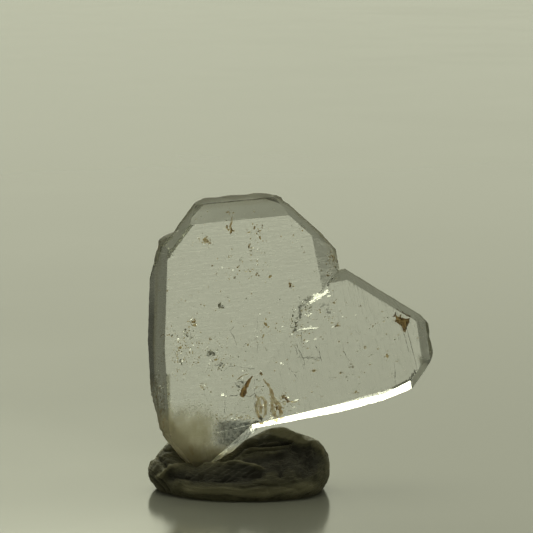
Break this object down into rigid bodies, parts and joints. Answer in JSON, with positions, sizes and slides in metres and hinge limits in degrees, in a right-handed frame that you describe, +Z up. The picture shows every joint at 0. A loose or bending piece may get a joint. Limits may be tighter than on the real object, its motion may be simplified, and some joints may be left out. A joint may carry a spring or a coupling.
{
  "type": "japan law twin quartz",
  "caption": "Flat heart-shaped clear crystal: two quartz individuals joined at 84.5 degrees, stood up in a kneaded wad of dark putty.",
  "frame": {"origin": "on the resting surface, under the middle of the whole piece's box", "axes": "+Z up; -Y is the side that the crystal plate's front face looks to, leaning back 8 degrees; the level individual's tip points along +X"},
  "size_m": [0.026, 0.0096, 0.0268],
  "materials": {
    "clear_quartz": "clear, glossy, faintly striated crystal faces, milky at the root, with rust and smoke specks inside",
    "grey_putty": "kneaded mounting putty, dull with soft sheen, finger ridges and folds"
  },
  "bodies": {
    "root": {"quartz_twin": "clear_quartz", "putty_wad": "grey_putty"}
  },
  "joints": []
}
